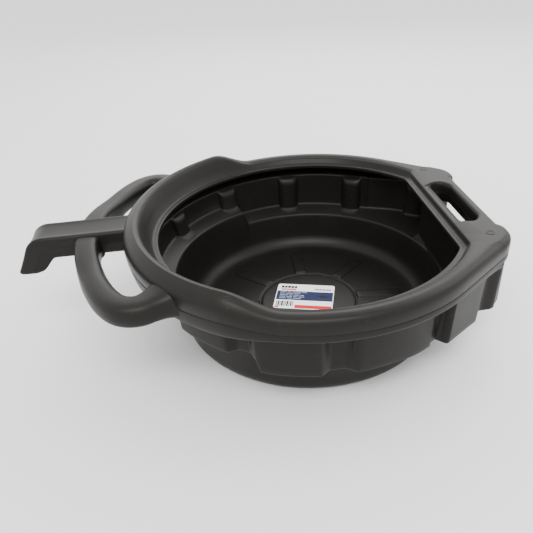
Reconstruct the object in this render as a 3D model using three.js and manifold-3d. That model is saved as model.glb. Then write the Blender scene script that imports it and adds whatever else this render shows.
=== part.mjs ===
// Oil drain pan: a black blow-moulded basin with a folded rim, a raised splash guard, a slotted grip,
// two loop handles and a hook that rests on the edge of a drum while the pan drips out.
// Units are millimetres, +Z is up and Z = 0 is the plane that the pan stands on. +X points to the slotted
// grip and -X to the hook. +Y is called left. The pan is built round the axis of its basin and is then
// moved along X, so that the origin ends up under the middle of its length.
// The real pan is one hollow moulding with a paper label. Each named mesh is one region of its skin.
import * as THREE from 'three'
import { mergeVertices } from 'three/addons/utils/BufferGeometryUtils.js'
import Module from 'manifold-3d'

const wasm = await Module()
wasm.setup()

// ---- Driving dimensions ----
const SKIN = 2.6 // wall thickness of the moulding
const GAP = 0.3 // clearance between neighbouring regions
const LIP_RADIUS = 198 // cut edge of the mouth
const LIP_Z = 140
const CHORD_X = 168 // the straight side of the mouth, in front of the grip
const RIM_RADIUS = 231.8 // outside of the rim at the parting line
const RIM_FOOT_Z = 119.2 // underside of the rim
const CREST_Z = 150.2 // top of the regular rim and of the grip deck
const WALL_RADIUS = 206 // inside of the upper wall at its foot
const WALL_DRAFT = 4.5 // how much wider the upper wall is at its top
const DEEP_Z = 67 // ledge height along the upper wall on the deep side
const SHALLOW_RISE = 21 // the ledge is this much higher on the hook side
const LEDGE_SLOPE = 0.4
const BASIN_RADIUS = 183 // top of the basin wall, where the ledge begins
const BASIN_SPLIT_Z = 16 // the foot's fillet ends here and the straight basin wall begins
const DISC_RADIUS = 68 // raised disc in the middle of the floor
const FLOOR_Z = 10.4
const SHALLOW_ANGLE = 114.4 // degrees from +X where the ledge steps up
const STEP_HALF_WIDTH = 0.8 // degrees
const GUARD_ANGLES = [105.5, 122] // degrees from +X where the guard starts and reaches its full height
const DECK_ANGLE = 33 // degrees from +X where the grip deck meets the rim
const SHOULDER_ANGLE = 51 // direction that the rim's straight shoulders face, degrees from +X
const SHOULDER_WALL = { angle: 54.5, distance: 215.5 } // the walls under the shoulders, from the basin's axis
const CHORD_WALL_X = 183.4 // inside of the wall between the basin and the grip slot
const EAR_X = 233.2 // outermost face of the two grip corners
const EAR_RADIUS = 38
const EAR_FOOT_Y = [75.5, 81.5] // the bar widens into the grip corner between these
const BAR_X = [213, 227.2] // inner and outer face of the grip bar
const BAR_HALF_LENGTH = 50
const SLOT_HALF_LENGTH = 59 // at the basin side of the slot
const HOOK_HALF_WIDTH = 24
const HOOK_TOP_Z = 163
const HOOK_FOOT_Z = 134
const HOOK_TIP_X = -379.5
const HOOK_SPLIT_X = -322 // the arm ends and the tip begins
const LOOP_Z = 143
const LOOP_SIZE = [33, 24] // width and height of the loop handles' section
const LABEL_SIZE = [85, 62]
const LABEL_TURN = -15 // degrees
const LABEL_CENTRE = [-4.6, 8.2]

const RIBS = { angles: [34, 60, 90, 120, 150], halfWidth: 15.5, depth: 9.5, topZ: [104, 115] }
const SPOKES = { count: 8, halfWidth: 8.5, from: 76, to: 134, height: 1.6 }

const BLACK = { color: 0x2b2a28, roughness: 0.5, metalness: 0 }
const PAPER = { color: 0xe9e9e6, roughness: 0.45, metalness: 0 }

// ---- Small helpers ----
const rad = (degrees) => THREE.MathUtils.degToRad(degrees)
const smooth = (x, from, to) => THREE.MathUtils.smoothstep(x, Math.min(from, to), Math.max(from, to))
const points = (list) => list.map(([x, y]) => new THREE.Vector2(x, y))
const pan = new THREE.Group()

function add(name, geometry, look = BLACK) {
  const mesh = new THREE.Mesh(geometry, new THREE.MeshStandardMaterial(look))
  mesh.name = name
  pan.add(mesh)
  return mesh
}

// Merges shared vertices and turns the faces outwards.
function close(geometry) {
  geometry.deleteAttribute('normal')
  geometry.deleteAttribute('uv')
  const merged = mergeVertices(geometry, 1e-4)
  const position = merged.attributes.position
  const kept = []
  const corner = [new THREE.Vector3(), new THREE.Vector3(), new THREE.Vector3()]
  let volume = 0
  for (let i = 0; i < merged.index.count; i += 3) {
    const face = [0, 1, 2].map((k) => merged.index.getX(i + k))
    if (new Set(face).size < 3) continue
    corner.forEach((c, k) => c.fromBufferAttribute(position, face[k]))
    volume += corner[0].dot(corner[1].clone().cross(corner[2]))
    kept.push(...face)
  }
  if (volume < 0) kept.reverse()
  merged.setIndex(kept)
  return merged
}

function toSolid(geometry) {
  const closed = close(geometry.clone())
  const mesh = new wasm.Mesh({
    numProp: 3,
    vertProperties: new Float32Array(closed.attributes.position.array),
    triVerts: new Uint32Array(closed.index.array)
  })
  return new wasm.Manifold(mesh)
}

function toGeometry(solid) {
  const mesh = solid.getMesh()
  const geometry = new THREE.BufferGeometry()
  geometry.setAttribute('position', new THREE.BufferAttribute(mesh.vertProperties, 3))
  geometry.setIndex(new THREE.BufferAttribute(mesh.triVerts, 1))
  return geometry
}

// A vertical prism over a plan outline.
function prism(outline, from, to) {
  const options = { depth: to - from, bevelEnabled: false }
  const geometry = new THREE.ExtrudeGeometry(new THREE.Shape(outline), options)
  return toSolid(geometry.translate(0, 0, from))
}

// A full ring: a lathe whose point j at station i is moved to place(j, i), a point in space.
function ring(pointCount, stationCount, place) {
  const profile = Array.from({ length: pointCount + 1 }, (_, j) => new THREE.Vector2(1, j))
  const geometry = new THREE.LatheGeometry(profile, stationCount)
  for (let i = 0; i <= stationCount; i++) {
    for (let j = 0; j <= pointCount; j++) {
      const p = place(j % pointCount, i % stationCount)
      geometry.attributes.position.setXYZ(i * (pointCount + 1) + j, p.x, p.y, p.z)
    }
  }
  return close(geometry)
}

// Part of a ring: a section swept through a list of angles, where point j lies at place(j, angle).
function arc(section, angles, place) {
  const steps = angles.length - 1
  const shape = new THREE.Shape(section)
  const geometry = new THREE.ExtrudeGeometry(shape, { depth: steps, steps, bevelEnabled: false })
  const position = geometry.attributes.position
  for (let v = 0; v < position.count; v++) {
    const key = new THREE.Vector2(position.getX(v), position.getY(v))
    const j = section.findIndex((p) => p.distanceTo(key) < 1e-3)
    const angle = angles[Math.round(position.getZ(v))]
    const [r, z] = place(j, angle)
    position.setXYZ(v, r * Math.cos(angle), r * Math.sin(angle), z)
  }
  return close(geometry)
}

function range(from, to, steps) {
  return Array.from({ length: steps + 1 }, (_, i) => from + ((to - from) * i) / steps)
}

// ---- Floor ----
function floorDisc() {
  const profile = points([
    [0, FLOOR_Z - SKIN], [DISC_RADIUS - 1, FLOOR_Z - SKIN], [DISC_RADIUS, FLOOR_Z - SKIN + 0.8],
    [DISC_RADIUS, FLOOR_Z - 0.8], [DISC_RADIUS - 1, FLOOR_Z], [0, FLOOR_Z]
  ])
  return close(new THREE.LatheGeometry(profile, 60).rotateX(Math.PI / 2))
}

// Height of a spoke at a radius and an angle: a low flat rib with rounded ends.
function spokeHeight(radius, angle) {
  const pitch = (2 * Math.PI) / SPOKES.count
  const aside = Math.abs(radius * Math.sin(angle - Math.round(angle / pitch) * pitch))
  const across = 1 - smooth(aside, SPOKES.halfWidth - 1.5, SPOKES.halfWidth)
  const along = smooth(radius, SPOKES.from - 2, SPOKES.from) * (1 - smooth(radius, SPOKES.to, SPOKES.to + 3))
  return SPOKES.height * across * along
}

// The floor falls slightly from the disc to the standing ring, the only part that touches the ground.
function basinFloor() {
  const edge = DISC_RADIUS + GAP
  const slope = 0.06
  const top = [edge, 75, 80, 105, 132, 138, 148]
  const section = [
    ...top.map((r) => [r, FLOOR_Z - slope * (r - edge)]),
    [152, 5.4 - SKIN + 2.3], [152, 0], [147, 0],
    [143, FLOOR_Z - slope * (143 - edge) - SKIN], [edge, FLOOR_Z - SKIN]
  ]
  const halfSpoke = (r) => SPOKES.halfWidth / r
  const pitch = (2 * Math.PI) / SPOKES.count
  const across = [-halfSpoke(100), -halfSpoke(115), 0, halfSpoke(115), halfSpoke(100)]
  const offsets = [...across, pitch * 0.3, pitch * 0.5, pitch * 0.7]
  const angles = []
  for (let k = 0; k < SPOKES.count; k++) angles.push(...offsets.map((o) => k * pitch + o))
  return ring(section.length, angles.length, (j, i) => {
    const [r, z] = section[j]
    const lift = j > 0 && j < top.length - 1 ? spokeHeight(r, angles[i]) : 0
    return new THREE.Vector3(r * Math.cos(angles[i]), r * Math.sin(angles[i]), z + lift)
  })
}

// ---- Plan of the upper wall ----
// Stations run once round the wall. Each gives an angle, the bare radius there and how far a rib stands in.
function wallStations() {
  const half = []
  const corner = { inner: 21.9, outer: 21.3 }
  for (const a of [0, 5, 10, 15, 19, corner.inner]) {
    half.push({ angle: rad(a), radius: CHORD_WALL_X / Math.cos(rad(a)), rib: 0 })
  }
  half.push({ angle: rad(corner.outer), radius: 241.5, rib: 0 })
  half.push({ angle: rad(23.5), radius: 245.5, rib: 0 })
  half.push({ angle: rad(26.5), radius: shoulderRadius(26.5), rib: 0 })
  const stepAngles = [SHALLOW_ANGLE - STEP_HALF_WIDTH, SHALLOW_ANGLE + STEP_HALF_WIDTH]
  const shares = [-1, -0.94, -0.8, -0.45, 0, 0.45, 0.8, 0.94, 1]
  let last = 26.5
  for (const centre of RIBS.angles) {
    const reach = THREE.MathUtils.radToDeg(RIBS.halfWidth / bareRadius(centre))
    const between = range(last, centre - reach, 4).slice(1, -1)
    if (last < SHALLOW_ANGLE && centre > SHALLOW_ANGLE) between.push(...stepAngles)
    for (const a of between) half.push({ angle: rad(a), radius: bareRadius(a), rib: 0 })
    for (const s of shares) {
      const a = centre + s * reach
      half.push({ angle: rad(a), radius: bareRadius(a), rib: RIBS.depth * (1 - Math.abs(s) ** 3) ** (1 / 2) })
    }
    last = centre + reach
  }
  for (const a of range(last, 180, 5).slice(1)) half.push({ angle: rad(a), radius: bareRadius(a), rib: 0 })
  const mirrored = half.slice(1, -1).reverse().map((s) => ({ ...s, angle: -s.angle }))
  return [...half, ...mirrored]
}

function shoulderRadius(degrees) {
  return SHOULDER_WALL.distance / Math.cos(rad(degrees - SHOULDER_WALL.angle))
}

// The round wall steps out to the straight shoulders behind the rib at 60 degrees.
function bareRadius(degrees) {
  const shoulder = shoulderRadius(Math.min(degrees, SHOULDER_WALL.angle))
  return THREE.MathUtils.lerp(shoulder, WALL_RADIUS, smooth(degrees, 55, 60))
}

const STATIONS = wallStations()

// How deep the pan is along the wall: 0 on the deep side and 1 on the shallow, hook side.
function shallowness(angle) {
  return smooth(Math.abs(angle), rad(SHALLOW_ANGLE - STEP_HALF_WIDTH), rad(SHALLOW_ANGLE + STEP_HALF_WIDTH))
}

function ledgeOuterZ(station) {
  const rise = Math.min(LEDGE_SLOPE * (station.radius - BASIN_RADIUS), DEEP_Z - 58)
  return 58 + rise + SHALLOW_RISE * shallowness(station.angle)
}

// Inside of the wall at one station and height, in plan.
function wallPoint(station, z) {
  const draft = (WALL_DRAFT * Math.max(0, z - DEEP_Z)) / (RIM_FOOT_Z - DEEP_Z)
  const share = smooth(Math.abs(station.angle), rad(20), rad(28))
  const rib = station.rib * (1 - smooth(z, ...RIBS.topZ))
  const radius = station.radius + draft * share - rib
  return new THREE.Vector2(radius * Math.cos(station.angle), radius * Math.sin(station.angle))
}

// The same outline moved outwards by a distance along its own normals.
function grow(outline, distance) {
  const count = outline.length
  return outline.map((p, i) => {
    const before = p.clone().sub(outline[(i + count - 1) % count]).normalize()
    const after = outline[(i + 1) % count].clone().sub(p).normalize()
    const normal = new THREE.Vector2(before.y + after.y, -before.x - after.x).normalize()
    const miter = Math.min(1.6, 1 / Math.max(0.5, normal.x * after.y - normal.y * after.x))
    return p.clone().addScaledVector(normal, distance * miter)
  })
}

function upperWall() {
  const topZ = RIM_FOOT_Z - GAP
  const above = [102, 108, 113, topZ]
  const levels = above.length + 1
  const reach = rad(STEP_HALF_WIDTH + 1.5)
  const onStep = (station) => Math.abs(Math.abs(station.angle) - rad(SHALLOW_ANGLE)) < reach
  const footGap = (station) => (onStep(station) ? 4 * GAP : GAP)
  const heightAt = (station, k) => (k === 0 ? ledgeOuterZ(station) + footGap(station) : above[k - 1])
  const insideAt = (k) => STATIONS.map((s) => wallPoint(s, heightAt(s, k)))
  const insides = range(0, above.length, above.length).map(insideAt)
  const outsides = insides.map((outline) => grow(outline, SKIN))
  return ring(2 * levels, STATIONS.length, (j, i) => {
    const inside = j < levels
    const k = inside ? j : 2 * levels - 1 - j
    const p = inside ? insides[k][i] : outsides[k][i]
    return new THREE.Vector3(p.x, p.y, heightAt(STATIONS[i], k))
  })
}

// ---- Ledge and basin wall ----
function ledgeInnerZ(angle) {
  return 58 + SHALLOW_RISE * shallowness(angle)
}

function stepLedge() {
  const foot = STATIONS.map((s) => wallPoint(s, ledgeOuterZ(s)))
  const outer = grow(foot, SKIN)
  return ring(4, STATIONS.length, (j, i) => {
    const station = STATIONS[i]
    const ledgeZ = ledgeInnerZ(station.angle)
    const inner = BASIN_RADIUS + GAP
    const corners = [
      [inner * Math.cos(station.angle), inner * Math.sin(station.angle), ledgeZ],
      [outer[i].x, outer[i].y, ledgeOuterZ(station)],
      [outer[i].x, outer[i].y, ledgeOuterZ(station) - SKIN],
      [(inner + 1) * Math.cos(station.angle), (inner + 1) * Math.sin(station.angle), ledgeZ - SKIN]
    ]
    return new THREE.Vector3(...corners[j])
  })
}

// A ring of the basin: a section whose upper points climb on the shallow side.
function basinRing(section) {
  const step = [SHALLOW_ANGLE - STEP_HALF_WIDTH, SHALLOW_ANGLE + STEP_HALF_WIDTH]
  const half = [...range(0, 110, 22), ...step, ...range(120, 180, 12)]
  const angles = [...half, ...half.slice(1, -1).reverse().map((a) => -a)].map(rad)
  return ring(section.length, angles.length, (j, i) => {
    const [r, z] = section[j]
    const lift = z > 50 ? SHALLOW_RISE * shallowness(angles[i]) : 0
    return new THREE.Vector3(r * Math.cos(angles[i]), r * Math.sin(angles[i]), z + lift)
  })
}

// The standing ring and the wide fillet that leads up to the basin wall.
function basinFoot() {
  const inner = [[152.3, 5.1], [160, 5.6], [167, 9.5], [171.5, BASIN_SPLIT_Z]]
  const outer = [[176.1, BASIN_SPLIT_Z], [172, 5.5], [164, 0], [152.3, 0]]
  return basinRing([...inner, ...outer])
}

function basinWall() {
  const inner = [[171.7, BASIN_SPLIT_Z + GAP], [174, 25], [BASIN_RADIUS, 58]]
  const outer = [[BASIN_RADIUS + 1, 58 - SKIN - 1], [177.3, 25], [176.2, BASIN_SPLIT_Z + GAP]]
  return basinRing([...inner, ...outer])
}

// ---- Rim and splash guard ----
// Each row is a point of the regular rim (radius, height) and how far the guard moves it (outwards, upwards).
const RIM_OUTSIDE = [
  [LIP_RADIUS, LIP_Z, 0, 0],
  [204.5, 139.6, 1, 0.4],
  [209.2, 146.4, 9, 21.6],
  [212, 148.6, 10, 22.5],
  [221.5, CREST_Z, 6.5, 21.2],
  [226.2, 149.2, 7, 20.3],
  [229.6, 146.7, 8.6, 18.3],
  [231.3, 142, 9.2, 16],
  [RIM_RADIUS, 130, 8.4, 12],
  [231.4, 121, 5, 1],
  [230, RIM_FOOT_Z, 5, 0]
]
const RIM_INSIDE = [
  [228.6, RIM_FOOT_Z + SKIN, 5, 1],
  [229.2, 130, 8.4, 12],
  [228.6, 141, 9.2, 16],
  [227.6, 144.6, 8.6, 18.3],
  [225.2, 146.6, 7, 20.3],
  [221.5, 147.6, 6.5, 21.2],
  [213.2, 146, 10, 22.5],
  [211.4, 144.4, 9, 21.6],
  [206.4, 137, 1, 0.4],
  [LIP_RADIUS, LIP_Z - SKIN, 0, 0]
]

function guardShare(angle) {
  return smooth(Math.abs(angle), rad(GUARD_ANGLES[0]), rad(GUARD_ANGLES[1]))
}

// Radius of the rim's outside at an angle: round, then straight along the shoulders.
function rimRadius(angle) {
  const turned = rad(SHOULDER_ANGLE) - Math.abs(angle)
  return turned > 0 ? RIM_RADIUS / Math.cos(turned) : RIM_RADIUS
}

// Angles that run on past 180 degrees, across -X, are folded back to read the rim's shape.
function fold(angle) {
  return angle > Math.PI ? 2 * Math.PI - angle : angle
}

function wallTopRadius(angle) {
  return bareRadius(THREE.MathUtils.radToDeg(Math.abs(angle))) + WALL_DRAFT
}

function rimPoint([r, z, out, up], angle) {
  const crest = 212
  const stretch = (rimRadius(angle) - crest) / (RIM_RADIUS - crest)
  const radius = r > crest ? crest + (r - crest) * stretch : r
  const share = guardShare(angle)
  return [radius + out * share, z + up * share]
}

// The rim is an upside-down channel: from the cut lip over the crest, down to a foot that meets the wall.
function rimArc(angles) {
  const foot = RIM_OUTSIDE.length
  const footRow = (angle, z) => [wallTopRadius(fold(angle)), z]
  const place = (j, angle) => {
    if (j === foot) return footRow(angle, RIM_FOOT_Z)
    if (j === foot + 1) return footRow(angle, RIM_FOOT_Z + SKIN)
    return rimPoint(j < foot ? RIM_OUTSIDE[j] : RIM_INSIDE[j - foot - 2], fold(angle))
  }
  const regular = rad(90)
  const last = foot + 1 + RIM_INSIDE.length
  const section = range(0, last, last).map((j) => place(j, regular))
  return arc(points(section), angles, place)
}

// A solid that fills everything inside the rim's outside, grown by a gap, to cut its neighbours.
function rimCutter() {
  const outside = RIM_OUTSIDE.slice(2)
  const section = [...points(outside), new THREE.Vector2(150, RIM_FOOT_Z), new THREE.Vector2(150, 146.2)]
  return arc(section, range(rad(110), rad(250), 56), (j, angle) => {
    if (j >= outside.length) return [150, j === outside.length ? RIM_FOOT_Z - GAP : 168]
    const [r, z] = rimPoint(outside[j], fold(angle))
    return [r + GAP, j > outside.length - 3 ? z - GAP : z + GAP]
  })
}

// ---- Grip ----
// Half outline of the deck, from the chord to the middle of the bar, set in by a distance.
function deckOutline(inset) {
  const side = RIM_RADIUS - inset
  const turn = rad(SHOULDER_ANGLE)
  const alongShoulder = (x) => (side - x * Math.cos(turn)) / Math.sin(turn)
  const earX = EAR_X - inset
  const radius = EAR_RADIUS - inset
  const centreX = earX - radius
  const centreY = (RIM_RADIUS - EAR_RADIUS - centreX * Math.cos(turn)) / Math.sin(turn)
  const cornerPoint = (a) => [centreX + radius * Math.cos(a), centreY + radius * Math.sin(a)]
  const corner = range(turn, 0, 5).map(cornerPoint)
  const half = [
    [178 + inset, alongShoulder(178 + inset)],
    ...corner,
    [earX, EAR_FOOT_Y[1] - inset * 0.4],
    [BAR_X[1] - inset, EAR_FOOT_Y[0] - inset * 0.4]
  ]
  const mirrored = half.slice().reverse().map(([x, y]) => [x, -y])
  return points([...half, ...mirrored])
}

function slotOutline(outset) {
  const x = [CHORD_WALL_X + SKIN - outset, BAR_X[0] + outset]
  const y = [SLOT_HALF_LENGTH + outset, BAR_HALF_LENGTH + outset]
  const half = [
    [x[0], y[0] - 4], [x[0] + 4, y[0]], [x[0] + 9, y[0] + 0.5],
    [x[1] - 6, y[1] + 1.5], [x[1], y[1] - 5]
  ]
  const mirrored = half.slice().reverse().map(([px, py]) => [px, -py])
  return points([...half, ...mirrored])
}

function wedge(degrees, from, to) {
  const far = 330
  const y = far * Math.sin(rad(degrees))
  const x = far * Math.cos(rad(degrees))
  return prism(points([[0, 0], [x, -y], [far, -y], [far, y], [x, y]]), from, to)
}

// The lip in front of the grip: a strip along the chord, from the cut edge up the step to the deck.
function chordLip() {
  const z = [LIP_Z, LIP_Z - 0.4, CREST_Z]
  const strip = points([
    [CHORD_X, z[0]], [CHORD_X, z[0] - SKIN], [CHORD_X + 8, z[1] - SKIN], [180.5, z[2] - SKIN], [180.5, z[2]],
    [177.4, z[2]], [173.4, z[1]]
  ])
  const geometry = new THREE.ExtrudeGeometry(new THREE.Shape(strip), { depth: 260, bevelEnabled: false })
  geometry.translate(0, 0, -130).rotateX(Math.PI / 2)
  return toSolid(geometry)
}

function gripDeck() {
  const foot = RIM_FOOT_Z
  const top = CREST_Z
  const pocket = STATIONS.map((s) => wallPoint(s, foot))
  const solid = prism(deckOutline(0), foot, top)
  const hollow = prism(deckOutline(SKIN), foot + SKIN, top - SKIN)
    .subtract(prism(slotOutline(SKIN), foot, top))
    .add(prism(pocket, foot - 1, foot + SKIN + 0.1))
  const bar = prism(points([
    [BAR_X[0] - GAP, -BAR_HALF_LENGTH - GAP], [245, -BAR_HALF_LENGTH - GAP],
    [245, BAR_HALF_LENGTH + GAP], [BAR_X[0] - GAP, BAR_HALF_LENGTH + GAP]
  ]), foot - 1, top + 1)
  const basinSide = points([[100, -200], [CHORD_WALL_X, -200], [CHORD_WALL_X, 200], [100, 200]])
  const front = prism(basinSide, foot - 1, top - SKIN)
  const shell = solid.subtract(hollow).subtract(front).subtract(prism(slotOutline(0), foot - 1, top + 1))
  return toGeometry(shell.add(chordLip()).subtract(bar).intersect(wedge(DECK_ANGLE - 0.08, 100, 200)))
}

function roundedBox(width, height, radius, steps) {
  const corners = [[1, 1, 0], [-1, 1, 90], [-1, -1, 180], [1, -1, 270]]
  return corners.flatMap(([sx, sy, start]) => {
    const x = sx * (width / 2 - radius)
    const y = sy * (height / 2 - radius)
    const turn = range(rad(start), rad(start + 90), steps)
    return turn.map((a) => new THREE.Vector2(x + radius * Math.cos(a), y + radius * Math.sin(a)))
  })
}

function tubeSection(width, height, radius, steps) {
  const shape = new THREE.Shape(roundedBox(width, height, radius, steps))
  const bore = roundedBox(width - 2 * SKIN, height - 2 * SKIN, radius - SKIN, steps)
  shape.holes.push(new THREE.Path(bore.reverse()))
  return shape
}

function gripBar() {
  const width = BAR_X[1] - BAR_X[0]
  const height = CREST_Z - RIM_FOOT_Z
  const shape = tubeSection(width, height, 6, 3)
  const geometry = new THREE.ExtrudeGeometry(shape, { depth: 2 * BAR_HALF_LENGTH, bevelEnabled: false })
  geometry.translate(0, 0, -BAR_HALF_LENGTH).rotateX(Math.PI / 2)
  return close(geometry.translate((BAR_X[0] + BAR_X[1]) / 2, 0, RIM_FOOT_Z + height / 2))
}

// ---- Hook ----
// Side view of the hook (x, z), set in by a distance. The tip leans outwards on its way down.
function hookSide(inset) {
  const top = HOOK_TOP_Z - inset
  const foot = HOOK_FOOT_Z + inset
  const bend = range(90, 154, 6).map((a) => {
    const r = 30 - inset
    return [-335 + r * Math.cos(rad(a)), 133 + r * Math.sin(rad(a))]
  })
  return points([
    [-200, foot], [-200, top], ...bend,
    [HOOK_TIP_X + inset + 0.5, 119], [HOOK_TIP_X + inset + 3, 113.5 + inset],
    [-356, 113.5 + inset], [-349.5 - inset, 116 + inset], [-345.5 - inset, 120.5 + inset],
    [-336 - inset, 131 + inset], [-331, foot]
  ])
}

function hookSlab(inset, halfWidth) {
  const bevel = 4
  const shape = new THREE.Shape(hookSide(inset + bevel))
  const depth = 2 * (halfWidth - bevel)
  const options = { depth, bevelEnabled: true, bevelSize: bevel, bevelThickness: bevel, bevelSegments: 2 }
  const geometry = new THREE.ExtrudeGeometry(shape, options)
  return toSolid(geometry.translate(0, 0, -depth / 2).rotateX(Math.PI / 2))
}

function hookPiece(from, to, cutter) {
  const hollow = hookSlab(SKIN, HOOK_HALF_WIDTH - SKIN)
  const span = prism(points([[from, -60], [to, -60], [to, 60], [from, 60]]), 90, 190)
  return toGeometry(hookSlab(0, HOOK_HALF_WIDTH).subtract(hollow).intersect(span).subtract(cutter))
}

// ---- Loop handles ----
function loopHandle(side, cutter) {
  const plan = [
    [-287, 14], [-286.5, 34], [-281.4, 63], [-271.4, 93.2], [-258.1, 121.4], [-241.7, 147.9], [-227, 162.3],
    [-211, 167.5], [-194.8, 163.2], [-178.7, 154.1], [-158.5, 140]
  ]
  const path = new THREE.CatmullRomCurve3(plan.map(([x, y]) => new THREE.Vector3(x, side * y, LOOP_Z)))
  const section = tubeSection(LOOP_SIZE[1], LOOP_SIZE[0], 9, 2)
  const geometry = new THREE.ExtrudeGeometry(section, { extrudePath: path, steps: 22, bevelEnabled: false })
  const beside = prism(points([
    [-400, -HOOK_HALF_WIDTH - GAP], [-100, -HOOK_HALF_WIDTH - GAP],
    [-100, HOOK_HALF_WIDTH + GAP], [-400, HOOK_HALF_WIDTH + GAP]
  ]), 90, 190)
  const cut = toSolid(geometry).subtract(beside).subtract(cutter)
  return toGeometry(largest(cut))
}

function largest(solid) {
  return solid.decompose().sort((a, b) => b.volume() - a.volume())[0]
}

// ---- Label ----
function label() {
  const shape = new THREE.Shape(roundedBox(LABEL_SIZE[0], LABEL_SIZE[1], 4, 4))
  const geometry = new THREE.ExtrudeGeometry(shape, { depth: GAP, bevelEnabled: false })
  return close(geometry.rotateZ(rad(LABEL_TURN)).translate(...LABEL_CENTRE, FLOOR_Z + GAP))
}

// ---- The pan ----
add('floor_disc', floorDisc())
add('basin_floor', basinFloor())
add('basin_foot', basinFoot())
add('basin_wall', basinWall())
add('step_ledge', stepLedge())
add('upper_wall', upperWall())

const guardStart = rad(GUARD_ANGLES[0])
const seam = GAP / RIM_RADIUS
add('rim_left', rimArc(range(rad(DECK_ANGLE + 0.08), guardStart - seam, 26)))
add('rim_right', rimArc(range(-guardStart + seam, -rad(DECK_ANGLE + 0.08), 26)))
const ramp = range(guardStart, rad(GUARD_ANGLES[1]), 6)
const back = range(rad(GUARD_ANGLES[1]), 2 * Math.PI - rad(GUARD_ANGLES[1]), 34)
const guardAngles = [...ramp, ...back.slice(1), ...ramp.slice(0, -1).reverse().map((a) => 2 * Math.PI - a)]
add('splash_guard', rimArc(guardAngles))

const cutter = toSolid(rimCutter())
add('grip_deck', gripDeck())
add('grip_bar', gripBar())
add('hook_arm', hookPiece(HOOK_SPLIT_X, -100, cutter))
add('hook_tip', hookPiece(-420, HOOK_SPLIT_X - GAP, cutter))
add('loop_left', loopHandle(1, cutter))
add('loop_right', loopHandle(-1, cutter))
add('label', label(), PAPER)

const middle = new THREE.Box3().setFromObject(pan).getCenter(new THREE.Vector3())
for (const mesh of pan.children) mesh.geometry.translate(-middle.x, 0, 0)

export default pan
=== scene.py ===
"""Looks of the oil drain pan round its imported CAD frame. Table values are millimetres and degrees.
+X points to the slotted grip, -X to the hook, and Z is 0 on the floor. Plans are drawn round the basin's
axis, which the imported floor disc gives."""

import math

import bmesh
import bpy
import numpy as np
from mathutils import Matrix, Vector


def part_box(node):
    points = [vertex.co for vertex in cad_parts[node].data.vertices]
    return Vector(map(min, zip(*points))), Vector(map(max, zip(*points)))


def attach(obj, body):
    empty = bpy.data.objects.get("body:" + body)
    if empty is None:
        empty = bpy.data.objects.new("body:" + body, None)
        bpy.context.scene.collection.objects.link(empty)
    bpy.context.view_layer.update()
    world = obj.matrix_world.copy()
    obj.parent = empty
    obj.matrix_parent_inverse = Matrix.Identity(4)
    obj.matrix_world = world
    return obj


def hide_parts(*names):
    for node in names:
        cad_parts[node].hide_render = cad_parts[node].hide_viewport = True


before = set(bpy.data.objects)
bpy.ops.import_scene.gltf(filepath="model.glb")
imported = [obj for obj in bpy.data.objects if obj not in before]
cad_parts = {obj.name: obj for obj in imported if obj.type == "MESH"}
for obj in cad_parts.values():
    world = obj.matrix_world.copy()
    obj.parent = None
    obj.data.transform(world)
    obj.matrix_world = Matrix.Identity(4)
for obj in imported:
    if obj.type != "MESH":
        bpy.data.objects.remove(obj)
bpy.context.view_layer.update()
MM = 0.001
disc_low, disc_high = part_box("floor_disc")
BASIN_AXIS = Vector(((disc_low.x + disc_high.x) / 2, 0, 0))

# ---- Plan of the pan ----
LIP_RADIUS = 198.0
LIP_CHORD_X = 168.0  # the mouth is cut straight in front of the grip
CHORD_SOFTNESS = 1.2  # of the corners where the straight cut meets the round lip
RIM_RADIUS = 231.5
CREST_RADIUS = 210.0  # inner edge of the rim's crest
SHOULDER_ANGLE = 51.0  # direction that the rim's straight shoulders face
WALL_ANGLE = 54.5  # direction that the walls under the shoulders face
SHOULDER_WALL = [219.4, 222.0]  # inside and outside of those walls, from the basin's axis
ROUND_WALL = [206.0, 210.3]  # inside and outside radius of the round wall
GRIP_END = 33.0  # angle where the grip's plan gives way to the round rim
SLOT_END = 17.4  # station of the slot's rounded end
POST_END = 28.6  # angle where the post beside the grip meets the wall
CHORD_WALL = [183.6, 186.2]  # inside and outside of the wall before the slot
DECK_Z = 150.4
UNDER_Z = 120.6  # underside of the rim
PART_LINE_Z = 134.0
FLOOR_Z = 10.4
FLOOR_UNDER_Z = 7.6
LEDGE_Z = 58.0
BLOCK_Z = 51.7  # lower edge of the outer wall's blocks
STEP_ANGLE = 114.8  # the ledge is higher on the hook side of this angle
STEP_HALF_WIDTH = 1.6  # of the step, as an angle
STEP_RISE = 22.0
GUARD_RAMP = [105.5, 122.0]  # angles where the guard starts and reaches its full height
INNER_RIBS = [(33.2, 4.2), (60.0, 4.4), (90.0, 4.4), (120.0, 4.4), (150.0, 4.4)]  # angle and half width
OUTER_RIBS = [(33.2, 3.9), (89.5, 5.3), (120.0, 4.6), (150.0, 4.5)]
RIB_DEPTH = 9.3
SHOULDER_END = 51.2  # angle where the outer wall needs stations for the end of the shoulder
NOTCH = [52.4, 56.8]  # notch between the shoulder block and the round wall
NOTCH_DEPTH = 2.8
CORNER_OFFSETS = np.array([-0.5, -0.2, 0, 0.25, 0.6])  # stations round a corner of the outer wall
SPOKE_PITCH = 45.0
SPOKE_HALF_WIDTH = [7.4, 8.9]  # top and foot of a floor spoke
SPOKE_STATIONS = [4.0, 5.5]  # the same two, as stations
SPOKE_OFFSETS = np.array([-5.5, -5, -4.5, 0, 4.5, 5, 5.5])  # stations round the middle of a spoke
SPOKE_SPAN = [72.6, 139.0]  # radius where a spoke starts and ends
SPOKE_RISE = 1.8

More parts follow.
